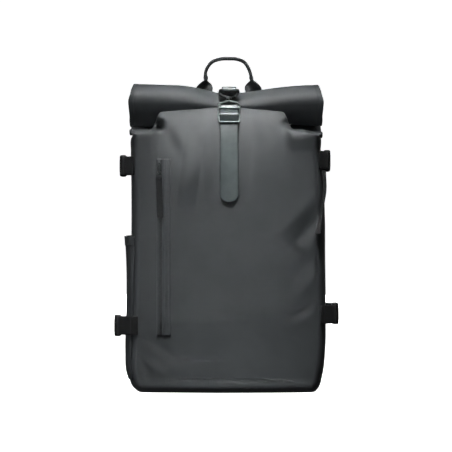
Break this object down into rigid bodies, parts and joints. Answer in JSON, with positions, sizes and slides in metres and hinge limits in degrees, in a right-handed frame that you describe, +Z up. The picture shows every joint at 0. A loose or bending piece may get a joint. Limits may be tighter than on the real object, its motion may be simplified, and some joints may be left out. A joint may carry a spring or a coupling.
{
  "type": "rolltop backpack",
  "caption": "Rolltop backpack of coated cloth with a hooked front strap, front zip, side pocket, side straps, padded shoulder straps and a carry handle.",
  "frame": {"origin": "centre of the flat base", "axes": "+Z up along the bag's height; the front with the closure strap faces -Y, the shoulder straps face +Y; the zip is on the -X side"},
  "size_m": [0.361, 0.2027, 0.545],
  "materials": {
    "cloth": "matte",
    "coated_strap": "satin",
    "webbing": "matte",
    "padding": "matte",
    "gunmetal": "satin",
    "plastic": "matte"
  },
  "bodies": {
    "bag": {"body_shell": "cloth", "roll_collar": "cloth", "closure_strap": "coated_strap", "slide_buckle": "gunmetal", "swivel_ring": "gunmetal", "snap_hook": "gunmetal", "rear_strap": "coated_strap", "carry_handle": "webbing", "back_pad": "padding", "shoulder_strap_left": "padding", "shoulder_adjuster_left": "plastic", "shoulder_webbing_left": "webbing", "shoulder_strap_right": "padding", "shoulder_adjuster_right": "plastic", "shoulder_webbing_right": "webbing", "zip_welt": "cloth", "zip_tape": "webbing", "zip_slider": "gunmetal", "zip_puller": "webbing", "side_pocket": "cloth", "side_strap_upper_left": "webbing", "side_buckle_upper_left": "plastic", "side_strap_upper_right": "webbing", "side_buckle_upper_right": "plastic", "side_strap_lower_left": "webbing", "side_buckle_lower_left": "plastic", "side_strap_lower_right": "webbing", "side_buckle_lower_right": "plastic", "strap_tail": "webbing"},
    "gate": {"hook_gate": "gunmetal"}
  },
  "joints": [
    {"name": "gate_hinge", "type": "hinge", "parent": "bag", "child": "gate", "pos_m": [0.01365, -0.01662, 0.47868], "axis": [0, -0.5446, 0.8387], "range_deg": [0, 30], "stiffness_Nm_per_rad": 0.02, "springref_deg": -11.46}
  ]
}
